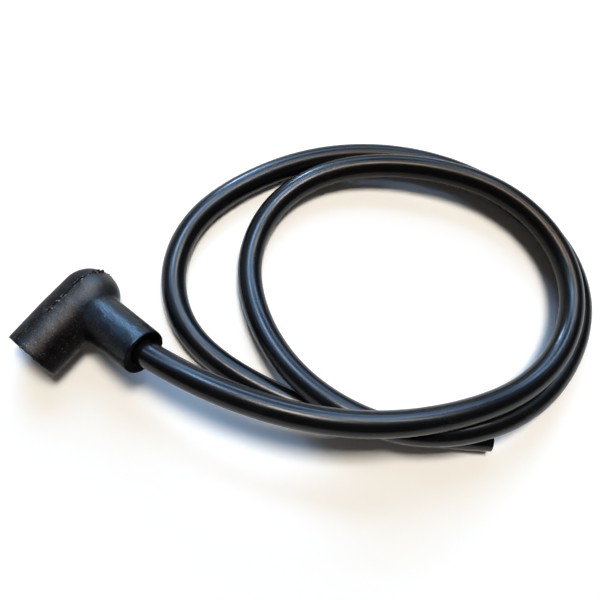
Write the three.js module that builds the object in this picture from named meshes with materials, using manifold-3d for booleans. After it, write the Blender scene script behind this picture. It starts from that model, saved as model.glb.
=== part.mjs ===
// Spark plug wire: a right-angle moulded boot on one length of ignition cable that lies in loops.
// Millimetres, +Z up. The boot lies on its barrel, whose axis runs along Y with the plug end at -Y,
// and its branch, which takes the cable, leans up towards +X. The origin is under the boot's middle.
import * as THREE from 'three';
import { mergeVertices } from 'three/addons/utils/BufferGeometryUtils.js';
import Module from 'manifold-3d';

const wasm = await Module();
wasm.setup();

const FIT_GAP = 0.3; // left between pieces that touch
const ROUND_SIDES = 48;

// The cable's jacket, and its route from the crimp inside the boot to its cut end. The points lie on
// the cable's centreline. The first two are on the branch's axis, and the rest follow the loops:
// once over the top, up the side, back along the far side, down and over itself, and round again on
// the surface below.
const CABLE_D = 7;
const CABLE_SIDES = 12;
const CABLE_STEPS = 80;
const ROUTE = [
  [-3.3, 4.1, 10.0], [14.1, 4.2, 15.9], [32.0, 7.1, 19.4], [49.5, 13.0, 20.7], [65.6, 21.8, 20.5],
  [79.5, 33.7, 19.0], [90.8, 47.9, 16.4], [98.6, 63.6, 13.1], [100.3, 81.5, 10.6], [93.1, 98.0, 9.7],
  [78.2, 107.7, 9.7], [60.0, 109.0, 9.8], [42.4, 103.1, 9.2], [26.8, 92.9, 7.9], [15.0, 79.0, 6.0],
  [10.7, 61.8, 4.1], [16.2, 44.8, 3.6], [29.7, 32.7, 5.4], [46.7, 26.4, 8.5], [64.9, 26.6, 11.1],
  [81.8, 33.3, 11.8], [94.9, 45.7, 10.6], [103.2, 61.3, 7.8], [105.5, 79.0, 4.9], [100.6, 96.7, 3.6],
  [87.4, 108.7, 3.6], [69.6, 113.1, 3.6], [51.1, 111.5, 3.6], [33.9, 104.9, 3.6], [19.0, 94.2, 3.6],
  [7.2, 80.2, 3.6], [-0.8, 63.6, 3.6], [-4.1, 45.3, 3.6], [1.5, 28.4, 3.6], [15.8, 17.8, 3.6],
  [33.9, 16.7, 3.6], [52.1, 20.8, 3.6], [69.2, 27.9, 3.6], [85.2, 36.9, 3.6], [100.2, 47.4, 3.6],
];

// The boot's barrel, measured along its own axis from the plug end.
const BARREL_MOUTH_R = 7.75;
const BARREL_R = 8.15; // where it lies on the surface, and of the round end
const BARREL_TAPER = 12; // length over which it grows from one to the other
const BOOT_LENGTH = 29.5;
const RIM_ROUND = 0.4; // on the outside of both mouths
const PLUG_BORE_R = 5; // takes the plug's insulator
const PLUG_BORE_DEPTH = 10;
const PLUG_LEAD = 0.6; // chamfer inside the mouth

// The boot's branch, measured along its own axis from the barrel's axis.
const BRANCH_AT = 18.8; // from the barrel's mouth
const BRANCH_LEAN = THREE.MathUtils.degToRad(19); // up from the surface
const BRANCH_LENGTH = 25.4;
const BRANCH_ROOT_R = 6.95;
const BRANCH_MOUTH_R = 6.25;
const CROTCH_ROUND = 4; // fillet between the legs, on the plug's side
const HEEL_ROUND = 0.8; // fillet on the round end's side
const SLEEVE_R = 5; // wide end of the cable's hole
const SLEEVE_DEPTH = 8;
const CABLE_BORE_SLACK = 0.6; // the holes for the cable are this much wider in radius

// The contact clip that the plug's tip snaps into, stamped from one strip.
const CLIP_WALL = 0.5;
const CLIP_INNER_R = 3.5;
const CLIP_FROM = 11; // from the barrel's mouth
const CLIP_LENGTH = 12.3;
const CLIP_BEAD = 0.35; // how far the snap bead stands in
const CLIP_BEAD_AT = 2.5; // from the clip's open end
const CRIMP_LENGTH = 8.5; // that wraps the cable's end

const CABLE_R = CABLE_D / 2;
const CLIP_R = CLIP_INNER_R + CLIP_WALL;
const CRIMP_INNER_R = CABLE_R + CABLE_BORE_SLACK;
const CRIMP_R = CRIMP_INNER_R + CLIP_WALL;
const CRIMP_TO = CLIP_R + CRIMP_LENGTH; // along the branch
const LEAN_COS = Math.cos(BRANCH_LEAN);
const LEAN_SIN = Math.sin(BRANCH_LEAN);
const BRANCH_REACH = BRANCH_LENGTH * LEAN_COS + BRANCH_MOUTH_R * LEAN_SIN;
const BARREL_X = (BARREL_R - BRANCH_REACH) / 2;
const MOUTH_Y = -BOOT_LENGTH / 2;

const rubber = (color) => new THREE.MeshStandardMaterial({ color, roughness: 0.6, metalness: 0 });
const BOOT_FINISH = rubber(0x1d1e20);
const CABLE_FINISH = new THREE.MeshStandardMaterial({ color: 0x0e0e10, roughness: 0.35, metalness: 0 });
const CLIP_FINISH = new THREE.MeshStandardMaterial({ color: 0xb9b6ac, roughness: 0.35, metalness: 1 });

// Turns a closed geometry into a manifold solid.
function solid(geometry) {
  let closed = geometry.index ? geometry : mergeVertices(geometry);
  closed = closed.clone();
  closed.deleteAttribute('normal');
  closed.deleteAttribute('uv');
  closed = mergeVertices(closed, 1e-4);
  return new wasm.Manifold(new wasm.Mesh({
    numProp: 3,
    vertProperties: new Float32Array(closed.attributes.position.array),
    triVerts: new Uint32Array(closed.index.array),
  }));
}

// Turns a manifold solid into a named mesh.
function mesh(name, body, material) {
  const made = body.getMesh();
  const geometry = new THREE.BufferGeometry();
  geometry.setAttribute('position', new THREE.BufferAttribute(new Float32Array(made.vertProperties), 3));
  geometry.setIndex(new THREE.BufferAttribute(new Uint32Array(made.triVerts), 1));
  geometry.computeVertexNormals();
  const part = new THREE.Mesh(geometry, material);
  part.name = name;
  return part;
}

// A turned shape from its profile of [radius, height] points, which starts and ends on its axis.
// The axis is +Y, so the barrel's pieces are placed as they are.
function turned(profile) {
  return new THREE.LatheGeometry(profile.map(([r, y]) => new THREE.Vector2(r, y)), ROUND_SIDES);
}

// Points of a quarter turn, from one angle to another in degrees.
function arc(cx, cy, radius, from, to, steps = 6) {
  return Array.from({ length: steps + 1 }, (_, i) => {
    const a = THREE.MathUtils.degToRad(from + (to - from) * i / steps);
    return [cx + radius * Math.cos(a), cy + radius * Math.sin(a)];
  });
}

function onBarrel(geometry) {
  return geometry.translate(BARREL_X, MOUTH_Y, BARREL_R);
}

// Moves a shape from standing along Y at the origin to the branch's axis.
const branchTurn = new THREE.Matrix4().makeBasis(
  new THREE.Vector3(0, -1, 0),
  new THREE.Vector3(LEAN_COS, 0, LEAN_SIN),
  new THREE.Vector3(-LEAN_SIN, 0, LEAN_COS),
);
function onBranch(geometry) {
  return geometry.applyMatrix4(branchTurn).translate(BARREL_X, MOUTH_Y + BRANCH_AT, BARREL_R);
}

// How far the barrel's outside reaches towards the branch, at a place along the barrel from the
// branch's axis (plug's side positive) and a height across it.
function flank(along, across) {
  const past = Math.max(0, BRANCH_AT - along - (BOOT_LENGTH - BARREL_R)); // into the round end
  return Math.sqrt(Math.max(0, BARREL_R ** 2 - across ** 2 - past ** 2));
}

// The branch's outside, ring by ring outwards. Its first rings are the fillet, which follows the
// barrel's side and is widest in the crotch. The +X half of a ring is the plug's side.
function branchShape() {
  const draft = (up) => BRANCH_ROOT_R + (BRANCH_MOUTH_R - BRANCH_ROOT_R) * up / BRANCH_LENGTH;
  const angles = Array.from({ length: ROUND_SIDES }, (_, k) => 2 * Math.PI * k / ROUND_SIDES);
  const fillet = (turn) => angles.map((a) => {
    const room = 0.95 * BARREL_R / Math.max(Math.abs(Math.sin(a)), 0.01) - draft(BARREL_R);
    const round = Math.min(room, HEEL_ROUND + (CROTCH_ROUND - HEEL_ROUND) * ((1 + Math.cos(a)) / 2) ** 1.5);
    const out = draft(BARREL_R) + round * (1 - Math.sin(turn));
    const [x, z] = [out * Math.cos(a), out * Math.sin(a)];
    return [x, flank(x, z) + round * (1 - Math.cos(turn)), z];
  });
  const plain = (up, radius) => angles.map((a) => [radius * Math.cos(a), up, radius * Math.sin(a)]);
  const rings = [plain(0, BRANCH_ROOT_R - 1)];
  for (let i = 0; i <= 8; i++) rings.push(fillet(Math.PI / 2 * i / 8));
  const plainTo = BRANCH_LENGTH - RIM_ROUND;
  for (const up of [BARREL_R + CROTCH_ROUND + 1, BRANCH_LENGTH - SLEEVE_DEPTH]) {
    rings.push(plain(up, draft(up)));
  }
  for (const [r, up] of arc(draft(plainTo) - RIM_ROUND, plainTo, RIM_ROUND, 0, 90, 4)) {
    rings.push(plain(up, r));
  }
  const vertices = [0, 0, 0, ...rings.flat(2), 0, BRANCH_LENGTH, 0];
  const last = vertices.length / 3 - 1;
  const faces = [];
  for (let k = 0; k < ROUND_SIDES; k++) {
    const next = (k + 1) % ROUND_SIDES;
    faces.push(0, 1 + k, 1 + next);
    for (let r = 0; r < rings.length - 1; r++) {
      const low = 1 + r * ROUND_SIDES;
      const high = low + ROUND_SIDES;
      faces.push(low + k, high + k, high + next, low + k, high + next, low + next);
    }
    faces.push(last, last - ROUND_SIDES + next, last - ROUND_SIDES + k);
  }
  const geometry = new THREE.BufferGeometry();
  geometry.setAttribute('position', new THREE.Float32BufferAttribute(vertices, 3));
  geometry.setIndex(faces);
  return geometry;
}

function bootBody() {
  const barrel = onBarrel(turned([
    [0, 0],
    ...arc(BARREL_MOUTH_R - RIM_ROUND, RIM_ROUND, RIM_ROUND, -90, 0, 4),
    [BARREL_R, BARREL_TAPER],
    ...arc(0, BOOT_LENGTH - BARREL_R, BARREL_R, 0, 90, 14),
  ]));
  const clipEnd = CLIP_FROM + CLIP_LENGTH + FIT_GAP;
  const clipBore = CLIP_R + FIT_GAP;
  const plugHole = onBarrel(turned([
    [0, -1], [PLUG_BORE_R + PLUG_LEAD, -1], [PLUG_BORE_R + PLUG_LEAD, 0], [PLUG_BORE_R, PLUG_LEAD],
    [PLUG_BORE_R, PLUG_BORE_DEPTH], [clipBore, PLUG_BORE_DEPTH], [clipBore, clipEnd], [0, clipEnd],
  ]));
  const cableBore = CABLE_R + CABLE_BORE_SLACK;
  const crimpBore = CRIMP_R + FIT_GAP;
  const sleeveFrom = BRANCH_LENGTH - SLEEVE_DEPTH;
  const cableHole = onBranch(turned([
    [0, 0], [crimpBore, 0], [crimpBore, CRIMP_TO + FIT_GAP], [cableBore, CRIMP_TO + FIT_GAP],
    [cableBore, sleeveFrom], [SLEEVE_R, sleeveFrom + (SLEEVE_R - cableBore)],
    [SLEEVE_R, BRANCH_LENGTH + 1], [0, BRANCH_LENGTH + 1],
  ]));
  return solid(barrel).add(solid(onBranch(branchShape()))).subtract(solid(plugHole))
    .subtract(solid(cableHole));
}

function clipBody() {
  const bead = CLIP_FROM + CLIP_BEAD_AT;
  const clipTo = CLIP_FROM + CLIP_LENGTH;
  const outside = onBarrel(turned([[0, CLIP_FROM], [CLIP_R, CLIP_FROM], [CLIP_R, clipTo], [0, clipTo]]));
  const inside = onBarrel(turned([
    [0, CLIP_FROM - 1], [CLIP_INNER_R, CLIP_FROM - 1], [CLIP_INNER_R, bead - 1],
    [CLIP_INNER_R - CLIP_BEAD, bead - 0.3], [CLIP_INNER_R - CLIP_BEAD, bead + 0.3],
    [CLIP_INNER_R, bead + 1], [CLIP_INNER_R, clipTo - CLIP_WALL], [0, clipTo - CLIP_WALL],
  ]));
  const crimpFrom = CLIP_R / 2; // inside the clip's own wall
  const crimp = onBranch(turned([
    [0, crimpFrom], [CRIMP_R, crimpFrom], [CRIMP_R, CRIMP_TO], [0, CRIMP_TO],
  ]));
  // The crimp is closed off from the clip by the clip's own wall, and open towards the cable.
  const crimpHole = onBranch(turned([
    [0, CLIP_R + CLIP_WALL], [CRIMP_INNER_R, CLIP_R + CLIP_WALL], [CRIMP_INNER_R, CRIMP_TO + 1],
    [0, CRIMP_TO + 1],
  ]));
  return solid(outside).add(solid(crimp).subtract(solid(crimpHole))).subtract(solid(inside));
}

// The cable's centreline: a natural cubic spline through the route, kept up on the surface.
class CableCurve extends THREE.Curve {
  constructor(points) {
    super();
    this.points = points.map((p) => new THREE.Vector3(...p));
    const n = points.length;
    // Second derivatives at the points, none at the ends, from the usual three-term equations.
    const scale = [0];
    const carry = [new THREE.Vector3()];
    for (let i = 1; i < n - 1; i++) {
      const pull = this.points[i + 1].clone().addScaledVector(this.points[i], -2).add(this.points[i - 1]);
      const share = 1 / (4 - scale[i - 1]);
      scale.push(share);
      carry.push(pull.multiplyScalar(6).sub(carry[i - 1]).multiplyScalar(share));
    }
    this.second = this.points.map(() => new THREE.Vector3());
    for (let i = n - 2; i > 0; i--) {
      this.second[i].copy(carry[i]).addScaledVector(this.second[i + 1], -scale[i]);
    }
  }

  getPoint(t, target = new THREE.Vector3()) {
    const at = t * (this.points.length - 1);
    const i = Math.min(Math.floor(at), this.points.length - 2);
    const b = at - i;
    const a = 1 - b;
    target.set(0, 0, 0).addScaledVector(this.points[i], a).addScaledVector(this.points[i + 1], b)
      .addScaledVector(this.second[i], (a * a * a - a) / 6)
      .addScaledVector(this.second[i + 1], (b * b * b - b) / 6);
    target.z = Math.max(target.z, CABLE_R + 0.05);
    return target;
  }
}

function cableTube() {
  const section = new THREE.Shape(Array.from({ length: CABLE_SIDES }, (_, i) => {
    const a = 2 * Math.PI * (i + 0.5) / CABLE_SIDES;
    return new THREE.Vector2(CABLE_R * Math.cos(a), CABLE_R * Math.sin(a));
  }));
  return new THREE.ExtrudeGeometry(section, { extrudePath: new CableCurve(ROUTE), steps: CABLE_STEPS });
}

const sparkPlugWire = new THREE.Group();
sparkPlugWire.name = 'spark_plug_wire';
sparkPlugWire.add(
  mesh('boot', bootBody(), BOOT_FINISH),
  mesh('plug_terminal', clipBody(), CLIP_FINISH),
  mesh('cable', solid(cableTube()), CABLE_FINISH),
);

export default sparkPlugWire;
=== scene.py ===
import math

import bpy
import numpy as np
from mathutils import Matrix, Quaternion, Vector
from mathutils.noise import noise as hash_noise


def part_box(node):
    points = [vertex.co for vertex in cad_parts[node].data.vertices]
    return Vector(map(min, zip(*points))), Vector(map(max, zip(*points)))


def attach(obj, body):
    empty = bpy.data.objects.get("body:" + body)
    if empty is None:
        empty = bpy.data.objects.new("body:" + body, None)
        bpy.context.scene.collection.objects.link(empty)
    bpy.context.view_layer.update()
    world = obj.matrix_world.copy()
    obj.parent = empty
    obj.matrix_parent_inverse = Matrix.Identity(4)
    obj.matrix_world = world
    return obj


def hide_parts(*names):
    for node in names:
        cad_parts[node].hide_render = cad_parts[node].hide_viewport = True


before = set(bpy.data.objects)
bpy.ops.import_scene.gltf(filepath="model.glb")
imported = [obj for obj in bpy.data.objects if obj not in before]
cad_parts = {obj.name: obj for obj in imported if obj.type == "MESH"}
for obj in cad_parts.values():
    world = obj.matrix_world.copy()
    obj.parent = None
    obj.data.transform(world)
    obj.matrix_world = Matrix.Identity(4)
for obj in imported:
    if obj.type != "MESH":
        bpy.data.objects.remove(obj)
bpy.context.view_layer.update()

MM = 0.001

# The camera of the photograph, in the part's frame: it looks down steeply, across the loops.
CAMERA_AT = (59.5 * MM, -10.2 * MM, 181.0 * MM)
CAMERA_HEADING = 24.15  # turn from looking along +Y, degrees
CAMERA_DOWN = 71.2  # below the horizon
CAMERA_ROLL = 15.3
CAMERA_LENS = 38.96  # on a sensor of this width
CAMERA_SENSOR = 36

# The table as light finds it and as it is seen, and where its own white takes over.
TABLE_SIZE = 12
TABLE_DROP = 0.02 * MM
FLOOR_LIT = (0.92, 0.91, 0.89)
FLOOR_SEEN = (1.19, 1.18, 1.17)
WHITE = (1, 1, 1)
WHITE_FROM, WHITE_TO = 0.2, 0.9
LOOPS_MIDDLE = Vector((0.045, 0.05, 0))

# The room. Heights are the z of a direction.
CEILING_WHITE = (1.0, 0.93, 0.82)
CEILING_DARK = (0.012, 0.012, 0.013)
ROOM_FILL = (0.06, 0.055, 0.05)
WINDOW_BLUE = (0.5, 0.83, 1.3)
HORIZON_FROM, HORIZON_TO = 0.06, 0.16

# The cable, with the route's points as in the part's source.
CABLE_D = 7.0 * MM
CABLE_SIDES = 40
CABLE_STEP = 1.6 * MM
CABLE_LIFT = 0.05 * MM
SPLINE_STEPS = 40
ROUTE_MM = [
    (-3.3, 4.1, 10.0), (14.1, 4.2, 15.9), (32.0, 7.1, 19.4), (49.5, 13.0, 20.7),
    (65.6, 21.8, 20.5), (79.5, 33.7, 19.0), (90.8, 47.9, 16.4), (98.6, 63.6, 13.1),
    (100.3, 81.5, 10.6), (93.1, 98.0, 9.7), (78.2, 107.7, 9.7), (60.0, 109.0, 9.8),
    (42.4, 103.1, 9.2), (26.8, 92.9, 7.9), (15.0, 79.0, 6.0), (10.7, 61.8, 4.1),
    (16.2, 44.8, 3.6), (29.7, 32.7, 5.4), (46.7, 26.4, 8.5), (64.9, 26.6, 11.1),
    (81.8, 33.3, 11.8), (94.9, 45.7, 10.6), (103.2, 61.3, 7.8), (105.5, 79.0, 4.9),
    (100.6, 96.7, 3.6), (87.4, 108.7, 3.6), (69.6, 113.1, 3.6), (51.1, 111.5, 3.6),
    (33.9, 104.9, 3.6), (19.0, 94.2, 3.6), (7.2, 80.2, 3.6), (-0.8, 63.6, 3.6),
    (-4.1, 45.3, 3.6), (1.5, 28.4, 3.6), (15.8, 17.8, 3.6), (33.9, 16.7, 3.6),
    (52.1, 20.8, 3.6), (69.2, 27.9, 3.6), (85.2, 36.9, 3.6), (100.2, 47.4, 3.6),
]

# The cable's finish. On its back strands, between these places, shade is painted into the
# reflections.
CABLE_BLACK = (0.004, 0.004, 0.0045)
CABLE_DUST = (0.16, 0.15, 0.14)
CABLE_SHINE = 0.27
BACK_SHADE_SHINE_LOSS = 0.13
BACK_SHADE_TINT = (1, 0.82, 0.66)
BACK_SHADE_Y = (66 * MM, 94 * MM)
BACK_SHADE_X = (80 * MM, 97 * MM)
CUT_SHINE_LOSS = 0.17
CUT_ROUGHNESS = 0.75

# The boot, in millimetres as in the part's source. Its box places it.
BARREL_MOUTH_R = 7.75
BARREL_R = 8.15
BARREL_TAPER = 12
PLUG_BORE_R = 5
PLUG_BORE_DEPTH = 10
CLIP_BORE_R = 4.3
CLIP_BORE_TO = 23.6
BRANCH_AT = 18.8
BRANCH_LEAN = math.radians(19)
BRANCH_LENGTH = 25.4
BRANCH_ROOT_R = 6.95
BRANCH_MOUTH_R = 6.25
SLEEVE_R = 4.6
SLEEVE_DEPTH = 8
CABLE_BORE_R = 4.1
CRIMP_BORE_R = 4.9
CRIMP_BORE_TO = 12.8
BORE_OVERLAP = 1  # each bore runs this far into the next one, or out of its mouth
boot_low, boot_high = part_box("boot")
BOOT_LENGTH = (boot_high.y - boot_low.y) / MM
MOUTH = Vector((boot_low.x / MM + BARREL_R, boot_low.y / MM, BARREL_R))
BARREL_WAY = Vector((0, 1, 0))
BRANCH_WAY = Vector((math.cos(BRANCH_LEAN), 0, math.sin(BRANCH_LEAN)))
PARTING_UP = Vector((-math.sin(BRANCH_LEAN), 0, math.cos(BRANCH_LEAN)))
BRANCH_ROOT = MOUTH + BARREL_WAY * BRANCH_AT
# The cable pulls the sleeve's bore off its middle: a thin wall on one side, a thick one opposite.
SLEEVE_OFF = BARREL_WAY * 0.95 + PARTING_UP * 0.75

# How the mould left the boot, in millimetres and degrees.
FIRST_FACES = 0.4
LAST_FACES = 0.25
ROOT_BLEND = 4.0  # reach of the rounding where the branch leaves the barrel
CROTCH_BLEND = 2.4  # added to it in the crotch
ROOT_STRENGTH = 0.4
CROTCH_STRENGTH = 2.2  # added to it in the crotch
CROTCH_FROM = 3  # the crotch's side of the branch starts here, past its axis
CROTCH_FADE = 5
ROOT_PASSES = 170
LAST_PASSES = 2
FLASH_FROM = 11.2
FLASH_STEP = 0.11
FLASH_TURN_TO = 96
FLASH_R = 0.12
LUMP_R = 0.34
LUMP_TURNS = (38, 62)
MOUTH_NIBS = [  # turn round the mouth from the top, half length, radius
    (12, 0.6, 0.3), (26, 0.4, 0.24), (47, 0.8, 0.34), (66, 0.45, 0.26), (128, 0.4, 0.2),
    (205, 0.5, 0.24), (300, 0.6, 0.25),
]

# The boot's finish.
RUBBER_BLACK = (0.0035, 0.003, 0.0033)
RUBBER_WORN = (0.009, 0.008, 0.0087)
BLOOM_GREY = (0.1, 0.094, 0.096)
SPECK_GREY = (0.15, 0.145, 0.14)
LIP_GREY = (0.3, 0.29, 0.28)
# Painted shade inside the parting crack.
PAINTED_CRACK_SHADE = (0.001, 0.001, 0.001)
# Painted reflection colours: warm on the barrel, blue on the branch.
BARREL_PAINTED_REFLECTION_TINT = (1, 0.84, 0.71)
BRANCH_PAINTED_REFLECTION_TINT = (0.68, 0.9, 1)
CRACK_FROM, CRACK_FULL = 10.0, 11.5  # from the plug mouth, along the barrel
CRACK_WANDER = 0.8


def select_only(*pieces):
    bpy.ops.object.select_all(action="DESELECT")
    for piece in pieces:
        piece.select_set(True)
    bpy.context.view_layer.objects.active = pieces[0]


def make_camera():
    data = bpy.data.cameras.new("camera")
    data.lens, data.sensor_width = CAMERA_LENS, CAMERA_SENSOR
    data.clip_start, data.clip_end = 0.01, 20
    camera = bpy.data.objects.new("camera", data)
    bpy.context.scene.collection.objects.link(camera)
    turn = (
        Matrix.Rotation(math.radians(CAMERA_HEADING), 4, "Z")
        @ Matrix.Rotation(math.radians(90 - CAMERA_DOWN), 4, "X")
        @ Matrix.Rotation(math.radians(CAMERA_ROLL), 4, "Z")
    )
    camera.matrix_world = Matrix.Translation(CAMERA_AT) @ turn
    bpy.context.scene.camera = camera


# Nodes

def material(name, roughness=0.5, metallic=0.0, specular=0.5):
    made = bpy.data.materials.new(name)
    made.use_nodes = True
    shader = made.node_tree.nodes["Principled BSDF"]
    shader.inputs["Roughness"].default_value = roughness
    shader.inputs["Metallic"].default_value = metallic
    shader.inputs["Specular IOR Level"].default_value = specular
    return made, shader


def noise(tree, place, scale, detail=3.0, rough=0.5):
    made = tree.nodes.new("ShaderNodeTexNoise")
    made.inputs["Scale"].default_value = scale
    made.inputs["Detail"].default_value = detail
    made.inputs["Roughness"].default_value = rough
    tree.links.new(place, made.inputs["Vector"])
    return made.outputs["Fac"]


def ranged(tree, value, low, high, to_low, to_high):
    made = tree.nodes.new("ShaderNodeMapRange")
    ends = {"From Min": low, "From Max": high, "To Min": to_low, "To Max": to_high}
    for name, number in ends.items():
        made.inputs[name].default_value = number
    tree.links.new(value, made.inputs["Value"])
    return made.outputs["Result"]


def maths(tree, operation, *values):
    made = tree.nodes.new("ShaderNodeMath")
    made.operation = operation
    for slot, value in enumerate(values):
        if isinstance(value, (int, float)):
            made.inputs[slot].default_value = value
        else:
            tree.links.new(value, made.inputs[slot])
    return made.outputs["Value"]


def times(tree, one, two):
    return maths(tree, "MULTIPLY", one, two)


def plus(tree, one, two):
    return maths(tree, "ADD", one, two)


def minus(tree, one, two):
    return maths(tree, "SUBTRACT", one, two)


def vectors(tree, operation, value, fixed, output):
    """A vector from the tree worked on with a fixed one."""
    made = tree.nodes.new("ShaderNodeVectorMath")
    made.operation = operation
    made.inputs[1].default_value = fixed
    tree.links.new(value, made.inputs[0])
    return made.outputs[output]


def parted(tree, value):
    made = tree.nodes.new("ShaderNodeSeparateXYZ")
    tree.links.new(value, made.inputs["Vector"])
    return made.outputs


def tinted(tree, amount, colour_from, colour_to):
    """One colour turning into another as amount goes from 0 to 1. Either may be a socket."""
    made = tree.nodes.new("ShaderNodeMix")
    made.data_type = "RGBA"
    tree.links.new(amount, made.inputs["Factor"])
    for name, colour in (("A", colour_from), ("B", colour_to)):
        socket = [i for i in made.inputs if i.name == name and i.type == "RGBA"][0]
        if isinstance(colour, tuple):
            socket.default_value = (*colour, 1)
        else:
            tree.links.new(colour, socket)
    return [o for o in made.outputs if o.type == "RGBA"][0]


def bumped(tree, shader, layers):
    """Bumps laid over each other, each a height, a strength and a depth in millimetres."""
    under = None
    for height, strength, depth in layers:
        made = tree.nodes.new("ShaderNodeBump")
        made.inputs["Strength"].default_value = strength
        made.inputs["Distance"].default_value = depth * MM
        tree.links.new(height, made.inputs["Height"])
        if under:
            tree.links.new(under, made.inputs["Normal"])
        under = made.outputs["Normal"]
    tree.links.new(under, shader.inputs["Normal"])


def specks(tree, place, cell, size, share):
    """Scattered round specks: one in each cell, size across, on a share of the cells."""
    made = tree.nodes.new("ShaderNodeTexVoronoi")
    made.inputs["Scale"].default_value = 1 / (cell * MM)
    tree.links.new(place, made.inputs["Vector"])
    edge = size / cell / 2
    near = ranged(tree, made.outputs["Distance"], 0.7 * edge, 1.1 * edge, 1, 0)
    split = tree.nodes.new("ShaderNodeSeparateColor")
    tree.links.new(made.outputs["Color"], split.inputs["Color"])
    return times(tree, near, maths(tree, "GREATER_THAN", split.outputs["Red"], 1 - share))


# Finishes

def cable_rubber():
    """Smooth extruded black rubber, glossy, rubbed duller in patches, with a little dust."""
    made, shader = material("cable_rubber")
    tree = made.node_tree
    place = tree.nodes.new("ShaderNodeTexCoord")
    spot, wrap = place.outputs["Object"], place.outputs["UV"]
    rubbed = noise(tree, spot, 90, 4, 0.6)
    # The wrap runs along the cable in x and round it in y, so the drawn lines follow it.
    stretch = tree.nodes.new("ShaderNodeMapping")
    stretch.inputs["Scale"].default_value = (0.25, 1, 1)
    tree.links.new(wrap, stretch.inputs["Vector"])
    drawn = noise(tree, stretch.outputs["Vector"], 60, 3, 0.6)
    # The cut faces lie at the wrap's origin. They are dull.
    cut = ranged(tree, parted(tree, wrap)["X"], 0.001, 0.01, 1, 0)
    rough = ranged(tree, plus(tree, rubbed, times(tree, drawn, 0.4)), 0.5, 0.9, 0.19, 0.29)
    rough = maths(tree, "MAXIMUM", rough, times(tree, cut, CUT_ROUGHNESS))
    tree.links.new(rough, shader.inputs["Roughness"])
    # Painted shade: the back of the loops shines less, and its reflections are tinted warm, which
    # greys the window's blue.
    at = parted(tree, spot)
    painted_back_shade = times(tree, ranged(tree, at["Y"], *BACK_SHADE_Y, 0, 1),
                 ranged(tree, at["X"], *BACK_SHADE_X, 1, 0.2))
    shine = minus(tree, CABLE_SHINE, times(tree, painted_back_shade, BACK_SHADE_SHINE_LOSS))
    shine = minus(tree, shine, times(tree, cut, CUT_SHINE_LOSS))
    tree.links.new(shine, shader.inputs["Specular IOR Level"])
    tree.links.new(tinted(tree, painted_back_shade, WHITE, BACK_SHADE_TINT), shader.inputs["Specular Tint"])
    dust = specks(tree, spot, 5.0, 0.22, 0.16)
    tree.links.new(tinted(tree, dust, CABLE_BLACK, CABLE_DUST), shader.inputs["Base Color"])
    pores = noise(tree, spot, 2400, 2)
    bumped(tree, shader, [(pores, 0.1, 0.03), (drawn, 0.12, 0.05), (dust, 0.5, 0.06)])
    return made


def parting_crack(tree, spot, at, out):
    """The crack along the barrel's top, wandering and broken, and light grey specks on its lips.
    The crack's inside is painted with shade.
    """
    wander = times(tree, minus(tree, noise(tree, spot, 700, 2), 0.5), CRACK_WANDER * MM)
    off = maths(tree, "ABSOLUTE", plus(tree, out, wander))
    back = ranged(tree, at["Y"], (MOUTH.y + CRACK_FROM) * MM, (MOUTH.y + CRACK_FULL) * MM, 0, 1)
    along = times(tree, back, ranged(tree, at["Z"], MOUTH.z * MM, (MOUTH.z + 1) * MM, 0, 1))
    broken = ranged(tree, noise(tree, spot, 900, 3, 0.7), 0.42, 0.5, 0, 1)
    crack = times(tree, times(tree, ranged(tree, off, 0.12 * MM, 0.26 * MM, 1, 0), along), broken)
    lip_specks = ranged(tree, noise(tree, spot, 1500, 2), 0.56, 0.64, 0, 1)
    lip = times(tree, times(tree, ranged(tree, off, 0.3 * MM, 0.6 * MM, 1, 0), along), lip_specks)
    return crack, lip


def boot_colour(tree, spot, at, out, grain, mottle, crack, lip):
    """Black rubber, under bloom and dust that are thickest toward the plug mouth, with painted
    shade in the crack.
    """
    handled = times(tree, ranged(tree, at["Y"], MOUTH.y * MM, (MOUTH.y + 18) * MM, 1, 0.4),
                    ranged(tree, out, 5 * MM, 9 * MM, 1, 0.25))
    fleck = ranged(tree, plus(tree, grain, times(tree, mottle, 0.5)), 0.82, 1.0, 0, 1)
    dust = specks(tree, spot, 0.8, 0.24, 0.25)
    colour = tinted(tree, ranged(tree, mottle, 0.35, 0.7, 0, 1), RUBBER_BLACK, RUBBER_WORN)
    colour = tinted(tree, times(tree, fleck, handled), colour, BLOOM_GREY)
    colour = tinted(tree, times(tree, dust, handled), colour, SPECK_GREY)
    colour = tinted(tree, lip, colour, LIP_GREY)
    # Painted shade: the crack is painted blacker than the rubber, for the shade inside it.
    return tinted(tree, crack, colour, PAINTED_CRACK_SHADE)


def boot_painted_sheen_and_shade(tree, out, up, on_branch, crack):
    """Painted sheen and shade: the top is kept shinier and the underside duller, most in the
    crotch, standing in for light on top and shade below.
    """
    barrel = times(tree, ranged(tree, out, 3.8 * MM, 6.6 * MM, 0.42, 0.06),
                   ranged(tree, out, -0.8 * MM, 2.6 * MM, 0.16, 1))
    branch = ranged(tree, up, 3.4 * MM, 5.8 * MM, 0.015, 0.34)
    shine = plus(tree, times(tree, barrel, minus(tree, 1, on_branch)),
                 times(tree, branch, on_branch))
    # Painted shade: the branch's mouth face shines less, and the crack doesn't shine.
    face = ranged(tree, out, (BRANCH_LENGTH - 0.5) * MM, (BRANCH_LENGTH - 0.2) * MM, 1, 0.3)
    return times(tree, times(tree, shine, face), ranged(tree, crack, 0, 1, 1, 0.05))


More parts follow.
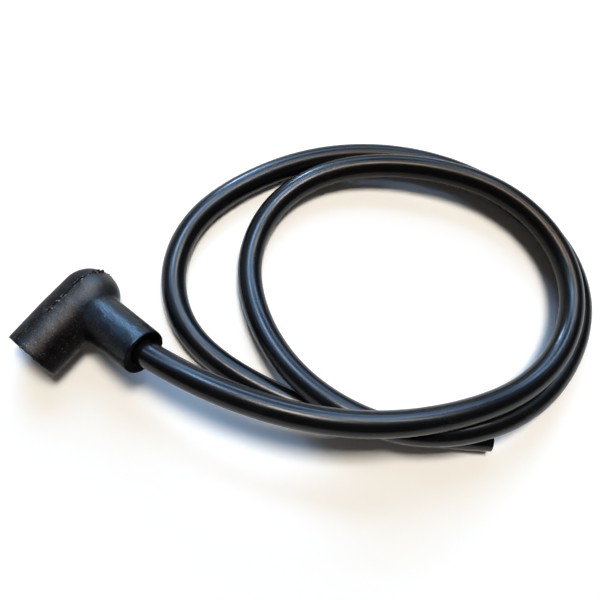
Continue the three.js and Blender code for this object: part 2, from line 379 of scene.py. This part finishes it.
def boot_rubber():
    """Matte moulded rubber, grainy and dusty, with the mould's parting line along the barrel."""
    made, shader = material("boot_rubber")
    tree = made.node_tree
    spot = tree.nodes.new("ShaderNodeTexCoord").outputs["Object"]
    grain = noise(tree, spot, 2100, 4, 0.6)
    mottle = noise(tree, spot, 420, 5, 0.65)
    cloud = noise(tree, spot, 110, 3, 0.5)
    # Out is the way along the branch, from the mould's parting plane. Up is square to it.
    at = parted(tree, spot)
    from_axis = vectors(tree, "SUBTRACT", spot, MOUTH * MM, "Vector")
    out = vectors(tree, "DOT_PRODUCT", from_axis, BRANCH_WAY, "Value")
    up = vectors(tree, "DOT_PRODUCT", from_axis, PARTING_UP, "Value")
    on_branch = ranged(tree, out, 6.5 * MM, 9 * MM, 0, 1)
    crack, lip = parting_crack(tree, spot, at, out)
    colour = boot_colour(tree, spot, at, out, grain, mottle, crack, lip)
    tree.links.new(colour, shader.inputs["Base Color"])
    # The branch is smoother than the barrel.
    rough = times(tree, ranged(tree, plus(tree, cloud, mottle), 0.7, 1.3, 0.85, 1.15),
                  ranged(tree, at["X"], (MOUTH.x + 2) * MM, (MOUTH.x + 8) * MM, 0.42, 0.2))
    tree.links.new(rough, shader.inputs["Roughness"])
    # The shine carries painted sheen on top and painted shade below.
    shine = boot_painted_sheen_and_shade(tree, out, up, on_branch, crack)
    tree.links.new(shine, shader.inputs["Specular IOR Level"])
    # Painted reflection colour: the barrel's reflections are tinted warm, which greys the window's
    # blue, and the branch's are tinted blue.
    painted_reflection_tint = tinted(tree, on_branch, BARREL_PAINTED_REFLECTION_TINT, BRANCH_PAINTED_REFLECTION_TINT)
    tree.links.new(painted_reflection_tint, shader.inputs["Specular Tint"])
    whole = minus(tree, 1, crack)
    bumped(tree, shader, [
        (cloud, 0.3, 0.6), (mottle, 0.6, 0.35), (grain, 0.7, 0.16), (whole, 0.8, 0.2),
    ])
    return made


def clip_steel():
    made, shader = material("clip_steel", metallic=1.0)
    tree = made.node_tree
    brush = noise(tree, tree.nodes.new("ShaderNodeTexCoord").outputs["Object"], 900)
    tree.links.new(ranged(tree, brush, 0, 1, 0.25, 0.5), shader.inputs["Roughness"])
    colour = tinted(tree, brush, (0.5, 0.49, 0.46), (0.68, 0.67, 0.63))
    tree.links.new(colour, shader.inputs["Base Color"])
    return made


# The cable

def cable_line(step):
    """The cable's centreline: a natural cubic spline through the route, kept above the table."""
    knots = np.array(ROUTE_MM) * MM
    n = len(knots)
    rows = np.eye(n)
    pull = np.zeros((n, 3))
    for i in range(1, n - 1):
        rows[i, i - 1 : i + 2] = 1, 4, 1
        pull[i] = 6 * (knots[i + 1] - 2 * knots[i] + knots[i - 1])
    second = np.linalg.solve(rows, pull)
    t = np.linspace(0, n - 1, SPLINE_STEPS * n)
    i = np.minimum(t.astype(int), n - 2)
    b = (t - i)[:, None]
    a = 1 - b
    line = a * knots[i] + b * knots[i + 1]
    line += ((a**3 - a) * second[i] + (b**3 - b) * second[i + 1]) / 6
    line[:, 2] = np.maximum(line[:, 2], CABLE_D / 2 + CABLE_LIFT)
    along = np.r_[0, np.cumsum(np.linalg.norm(np.diff(line, axis=0), axis=1))]
    even = np.linspace(0, along[-1], round(along[-1] / step) + 1)
    return np.stack([np.interp(even, along, line[:, k]) for k in range(3)], 1), along[-1]


def cable_rings(line):
    """A ring of points round each point of the line, carried along it without twist."""
    ways = np.gradient(line, axis=0)
    ways /= np.linalg.norm(ways, axis=1)[:, None]
    side = np.cross(ways[0], (0, 0, 1))
    side /= np.linalg.norm(side)
    sides = []
    for way in ways:
        side = side - way * (side @ way)
        side /= np.linalg.norm(side)
        sides.append(side)
    sides = np.array(sides)
    ups = np.cross(ways, sides)
    angles = np.linspace(0, 2 * math.pi, CABLE_SIDES, endpoint=False)[None, :, None]
    round_it = np.cos(angles) * sides[:, None] + np.sin(angles) * ups[:, None]
    return (line[:, None] + CABLE_D / 2 * round_it).reshape(-1, 3)


def cable_faces(rings):
    """The faces between the rings, then the two cut faces."""
    faces = []
    for ring in range(rings - 1):
        low, high = ring * CABLE_SIDES, (ring + 1) * CABLE_SIDES
        for a in range(CABLE_SIDES):
            b = (a + 1) % CABLE_SIDES
            faces.append((low + a, low + b, high + b, high + a))
    first_ring = range(CABLE_SIDES)
    last_ring = range((rings - 1) * CABLE_SIDES, rings * CABLE_SIDES)
    return faces + [tuple(first_ring)[::-1], tuple(last_ring)]


def wrap_round(mesh, rings):
    """The wrap runs along the cable in x, in turns of its girth, and once round it in y."""
    wrap = mesh.uv_layers.new(name="wrap")
    for face in mesh.polygons[: (rings - 1) * CABLE_SIDES]:
        ring, side_at = divmod(face.index, CABLE_SIDES)
        for loop, (up, over) in zip(face.loop_indices, ((0, 0), (0, 1), (1, 1), (1, 0))):
            along = (ring + up) * CABLE_STEP / (math.pi * CABLE_D)
            wrap.data[loop].uv = (along, (side_at + over) / CABLE_SIDES)


def make_cable():
    line, length = cable_line(CABLE_STEP)
    mesh = bpy.data.meshes.new("ignition_cable")
    mesh.from_pydata(cable_rings(line).tolist(), [], cable_faces(len(line)))
    wrap_round(mesh, len(line))
    mesh.materials.append(cable_rubber())
    cable = bpy.data.objects.new("ignition_cable", mesh)
    bpy.context.scene.collection.objects.link(cable)
    select_only(cable)
    bpy.ops.object.shade_smooth_by_angle(angle=math.radians(40))
    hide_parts("cable")
    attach(cable, "root")


# The boot

def along_axis(start, way, radius_from, radius_to, low, high, sides=96):
    """A closed round piece on an axis through start, from low to high along it."""
    bpy.ops.object.select_all(action="DESELECT")
    bpy.ops.mesh.primitive_cone_add(
        vertices=sides, radius1=radius_from, radius2=radius_to, depth=high - low,
        location=start + way * (low + high) / 2, rotation=way.to_track_quat("Z", "Y").to_euler(),
    )
    bpy.ops.object.transform_apply(location=True, rotation=True, scale=True)
    return bpy.context.object


def combine(body, tool, operation):
    select_only(body)
    step = body.modifiers.new("combine", "BOOLEAN")
    step.operation, step.object, step.solver = operation, tool, "EXACT"
    bpy.ops.object.modifier_apply(modifier=step.name)
    bpy.data.objects.remove(tool, do_unlink=True)


def select_points(piece, wanted):
    """In edit mode afterwards, with the points that wanted picks selected."""
    select_only(piece)
    bpy.ops.object.mode_set(mode="EDIT")
    bpy.ops.mesh.select_mode(type="VERT")
    bpy.ops.mesh.select_all(action="DESELECT")
    bpy.ops.object.mode_set(mode="OBJECT")
    for point in piece.data.vertices:
        point.select = wanted(point.co)
    bpy.ops.object.mode_set(mode="EDIT")


def barrel_with_round_end():
    """Half a ball, drawn out into the barrel and narrowed to its mouth."""
    ball = MOUTH + BARREL_WAY * (BOOT_LENGTH - BARREL_R)
    bpy.ops.object.select_all(action="DESELECT")
    bpy.ops.mesh.primitive_uv_sphere_add(
        segments=96, ring_count=48, radius=BARREL_R, location=ball,
        rotation=(math.radians(-90), 0, 0),
    )
    barrel = bpy.context.object
    barrel.name = "moulded_boot"
    bpy.ops.object.transform_apply(location=True, rotation=True, scale=True)
    select_points(barrel, lambda at: at.y < ball.y - 0.01)
    bpy.ops.mesh.delete(type="VERT")
    bpy.ops.object.mode_set(mode="OBJECT")
    select_points(barrel, lambda at: at.y < ball.y + 0.01)
    for move in (MOUTH.y + BARREL_TAPER - ball.y, -BARREL_TAPER):
        bpy.ops.mesh.extrude_region_move(TRANSFORM_OT_translate={"value": (0, move, 0)})
    narrow = BARREL_MOUTH_R / BARREL_R
    bpy.ops.transform.resize(value=(narrow, 1, narrow), center_override=MOUTH)
    bpy.ops.mesh.edge_face_add()
    bpy.ops.mesh.select_all(action="SELECT")
    bpy.ops.mesh.normals_make_consistent(inside=False)
    bpy.ops.object.mode_set(mode="OBJECT")
    return barrel


def even_faces(piece, size):
    select_only(piece)
    remesh = piece.modifiers.new("even_faces", "REMESH")
    remesh.mode, remesh.voxel_size = "VOXEL", size
    remesh.use_smooth_shade = True
    bpy.ops.object.modifier_apply(modifier=remesh.name)


def smooth(piece, passes, group=""):
    step = piece.modifiers.new("smooth", "SMOOTH")
    step.factor, step.iterations, step.vertex_group = 0.5, passes, group
    bpy.ops.object.modifier_apply(modifier=step.name)


def blend_root(boot):
    """Only where the two outsides meet is the boot smoothed, most of all in the crotch."""
    group = boot.vertex_groups.new(name="root")
    for point in boot.data.vertices:
        out = point.co - BRANCH_ROOT
        up = out.dot(BRANCH_WAY)
        off_branch = (out - BRANCH_WAY * up).length
        off_barrel = Vector((point.co.x - MOUTH.x, 0, point.co.z - MOUTH.z)).length
        seam = math.hypot(off_branch - BRANCH_ROOT_R, off_barrel - BARREL_R)
        crotch = min(1.0, max(0.0, (BRANCH_ROOT.y + CROTCH_FROM - point.co.y) / CROTCH_FADE))
        near = max(0.0, 1 - seam / (ROOT_BLEND + CROTCH_BLEND * crotch))
        weight = (ROOT_STRENGTH + CROTCH_STRENGTH * crotch) * near
        if weight > 0 and up > 0:
            group.add([point.index], min(1.0, weight), "REPLACE")
    smooth(boot, ROOT_PASSES, "root")
    boot.vertex_groups.clear()


def flash_bead(points, sizes):
    """An uneven thread of rubber left by the mould."""
    data = bpy.data.curves.new("flash", "CURVE")
    data.dimensions, data.bevel_depth, data.bevel_resolution = "3D", 1.0, 1
    data.use_fill_caps = True
    thread = data.splines.new("POLY")
    thread.points.add(len(points) - 1)
    for spot, at, size in zip(thread.points, points, sizes):
        spot.co, spot.radius = (*at, 1), size
    bead = bpy.data.objects.new("flash", data)
    bpy.context.scene.collection.objects.link(bead)
    select_only(bead)
    bpy.ops.object.convert(target="MESH")
    return bpy.context.object


def parting_flash():
    """The bead along the parting line, on the barrel and over its round end, with one lump."""
    ball = BOOT_LENGTH - BARREL_R
    low_lump, high_lump = (math.radians(turn) for turn in LUMP_TURNS)
    points, sizes = [], []
    along = FLASH_FROM
    while (turn := (along - ball) / BARREL_R) <= math.radians(FLASH_TURN_TO):
        ragged = hash_noise(Vector((along * 1.9, 3.1, 0.0)))
        ragged += 0.5 * hash_noise(Vector((along * 5.3, 7.7, 2.0)))
        over = max(0.0, turn)
        at = MOUTH + BARREL_WAY * (min(along, ball) + BARREL_R * math.sin(over))
        at += PARTING_UP * BARREL_R * math.cos(over)
        lump = LUMP_R if low_lump < turn < high_lump else 0.0
        points.append(at + BRANCH_WAY * (0.1 * hash_noise(Vector((along * 0.9, 0, 5)))))
        sizes.append(max(0.02, FLASH_R + 0.3 * ragged + lump * (1 + ragged)))
        along = FLASH_FROM + len(points) * FLASH_STEP
    return flash_bead(points, sizes)


def mouth_nib(turn, half, size):
    """A torn nib on the rim of the plug mouth."""
    over = math.radians(turn)
    out = BRANCH_WAY * math.sin(over) + PARTING_UP * math.cos(over)
    rim = BRANCH_WAY * math.cos(over) - PARTING_UP * math.sin(over)
    at = MOUTH + out * (BARREL_MOUTH_R - 0.1) + BARREL_WAY * 0.15
    return flash_bead([at - rim * half, at, at + rim * half], [0.04, size, 0.05])


def cut_bores(boot):
    bore_to = BRANCH_LENGTH - SLEEVE_DEPTH
    for start, way, radius, low, high in [
        (MOUTH, BARREL_WAY, PLUG_BORE_R, -BORE_OVERLAP, PLUG_BORE_DEPTH),
        (MOUTH, BARREL_WAY, CLIP_BORE_R, PLUG_BORE_DEPTH - BORE_OVERLAP, CLIP_BORE_TO),
        (BRANCH_ROOT, BRANCH_WAY, CRIMP_BORE_R, 0, CRIMP_BORE_TO),
        (BRANCH_ROOT, BRANCH_WAY, CABLE_BORE_R, CRIMP_BORE_TO - BORE_OVERLAP,
         bore_to + BORE_OVERLAP),
        (BRANCH_ROOT + SLEEVE_OFF, BRANCH_WAY, SLEEVE_R, bore_to, BRANCH_LENGTH + BORE_OVERLAP),
    ]:
        combine(boot, along_axis(start, way, radius, radius, low, high), "DIFFERENCE")


def make_boot():
    """The boot is modelled in millimetres, because small booleans fail in metres."""
    boot = barrel_with_round_end()
    branch = along_axis(BRANCH_ROOT, BRANCH_WAY, BRANCH_ROOT_R, BRANCH_MOUTH_R, 0, BRANCH_LENGTH)
    combine(boot, branch, "UNION")
    even_faces(boot, FIRST_FACES)
    blend_root(boot)
    cut_bores(boot)
    even_faces(boot, LAST_FACES)
    smooth(boot, LAST_PASSES)
    select_only(boot, parting_flash(), *[mouth_nib(*nib) for nib in MOUTH_NIBS])
    bpy.ops.object.join()
    boot.scale = (MM, MM, MM)
    bpy.ops.object.transform_apply(location=True, rotation=True, scale=True)
    boot.data.materials.clear()
    boot.data.materials.append(boot_rubber())
    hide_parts("boot")
    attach(boot, "root")


def finish_clip():
    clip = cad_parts["plug_terminal"]
    clip.data.materials.clear()
    clip.data.materials.append(clip_steel())


# The table and the room

def make_floor():
    bpy.ops.object.select_all(action="DESELECT")
    bpy.ops.mesh.primitive_plane_add(size=TABLE_SIZE, location=(0, 0, -TABLE_DROP))
    floor = bpy.context.object
    floor.name = "floor"
    made, shader = material("pale_table", roughness=0.9, specular=0.0)
    tree = made.node_tree
    seen = tree.nodes.new("ShaderNodeLightPath").outputs
    direct = maths(tree, "MAXIMUM", seen["Is Camera Ray"], seen["Is Glossy Ray"])
    direct = maths(tree, "MAXIMUM", direct, seen["Is Transmission Ray"])
    tree.links.new(tinted(tree, direct, FLOOR_LIT, FLOOR_SEEN), shader.inputs["Base Color"])
    # Far from the loops, where the lamps no longer reach, the table is seen white all the same.
    place = tree.nodes.new("ShaderNodeTexCoord").outputs["Object"]
    away = vectors(tree, "DISTANCE", place, LOOPS_MIDDLE, "Value")
    shader.inputs["Emission Color"].default_value = (*WHITE, 1)
    glow = times(tree, direct, ranged(tree, away, WHITE_FROM, WHITE_TO, 0, 1))
    tree.links.new(glow, shader.inputs["Emission Strength"])
    floor.data.materials.append(made)


def room_way(right, back):
    """A direction by its angle from straight up, in degrees to the photograph's right and back."""
    lean = math.radians(math.hypot(right, back))
    turn = math.atan2(right, back) - math.radians(CAMERA_HEADING)
    side = math.sin(lean)
    return Vector((math.sin(turn) * side, math.cos(turn) * side, math.cos(lean)))


def lamp(name, colour, right, back, wide, deep, radiance, turn=0, matte=True, gloss=True):
    """A flat lamp 1 m from the loops, sized in degrees, as bright as so many white floors."""
    data = bpy.data.lights.new(name, "AREA")
    data.shape = "RECTANGLE"
    data.size, data.size_y = (2 * math.tan(math.radians(angle / 2)) for angle in (wide, deep))
    data.energy, data.color = radiance * math.pi * data.size * data.size_y, colour
    light = bpy.data.objects.new(name, data)
    bpy.context.scene.collection.objects.link(light)
    way = room_way(right, back)
    across = room_way(90, 0)
    across = (across - way * across.dot(way)).normalized()
    across.rotate(Quaternion(way, math.radians(turn)))
    facing = Matrix((across, way.cross(across), way)).transposed().to_4x4()
    light.matrix_world = Matrix.Translation(LOOPS_MIDDLE + way) @ facing
    light.visible_diffuse, light.visible_glossy = matte, gloss
    light.visible_camera = False


def make_lamps():
    """Each lamp's place, size, brightness and turn are in the order that lamp takes them."""
    lamp("ceiling_lamp", CEILING_WHITE, 1, 7, 16, 13, 35, turn=20)
    lamp("window", WINDOW_BLUE, -13, 60, 46, 18, 4.4)
    lamp("window_top", WINDOW_BLUE, -15, 38, 40, 14, 4.0, gloss=False)
    # Seen only in the gloss: the rubber mirrors the window's bars harder than they light the table.
    for name, colour, *rest in [
        ("left_gleam", WINDOW_BLUE, -29, 16, 32, 10, 7, 22),
        ("bright_gleam", WINDOW_BLUE, -19, 22, 11, 11, 24, 22),
        ("middle_gleam", WINDOW_BLUE, -3, 27, 24, 9, 10.5, 22),
        ("right_gleam", WINDOW_BLUE, 12, 42, 22, 10, 14, 66),
        ("bar_gleam", WINDOW_BLUE, -23, 39, 24, 8, 9, 72),
        ("front_gleam", WINDOW_BLUE, -9, 63, 28, 7, 8, 34),
        ("low_gleam", WINDOW_BLUE, -37, 57, 7, 11, 62, 0),
        ("wall_gleam", WINDOW_BLUE, -20, 30, 110, 80, 0.5, 0),
        ("tube_gleam", CEILING_WHITE, 17, 23, 18, 7, 21, -10),
    ]:
        lamp(name, colour, *rest, matte=False)


def make_room():
    """Gloss finds a dark ceiling over a white horizon. Seen straight on, the room is white."""
    world = bpy.data.worlds.new("room")
    bpy.context.scene.world = world
    world.use_nodes = True
    tree = world.node_tree
    height = parted(tree, tree.nodes.new("ShaderNodeTexCoord").outputs["Generated"])["Z"]
    seen = tree.nodes.new("ShaderNodeLightPath").outputs
    backdrop = maths(tree, "MAXIMUM", seen["Is Camera Ray"], seen["Is Transmission Ray"])
    horizon = ranged(tree, height, HORIZON_FROM, HORIZON_TO, 1, 0)
    pale = maths(tree, "MAXIMUM", backdrop, horizon)
    ceiling = tinted(tree, seen["Is Diffuse Ray"], CEILING_DARK, ROOM_FILL)
    tree.links.new(tinted(tree, pale, ceiling, WHITE), tree.nodes["Background"].inputs["Color"])
    bpy.context.scene.view_settings.view_transform = "Standard"


make_camera()
make_cable()
make_boot()
finish_clip()
make_floor()
make_lamps()
make_room()
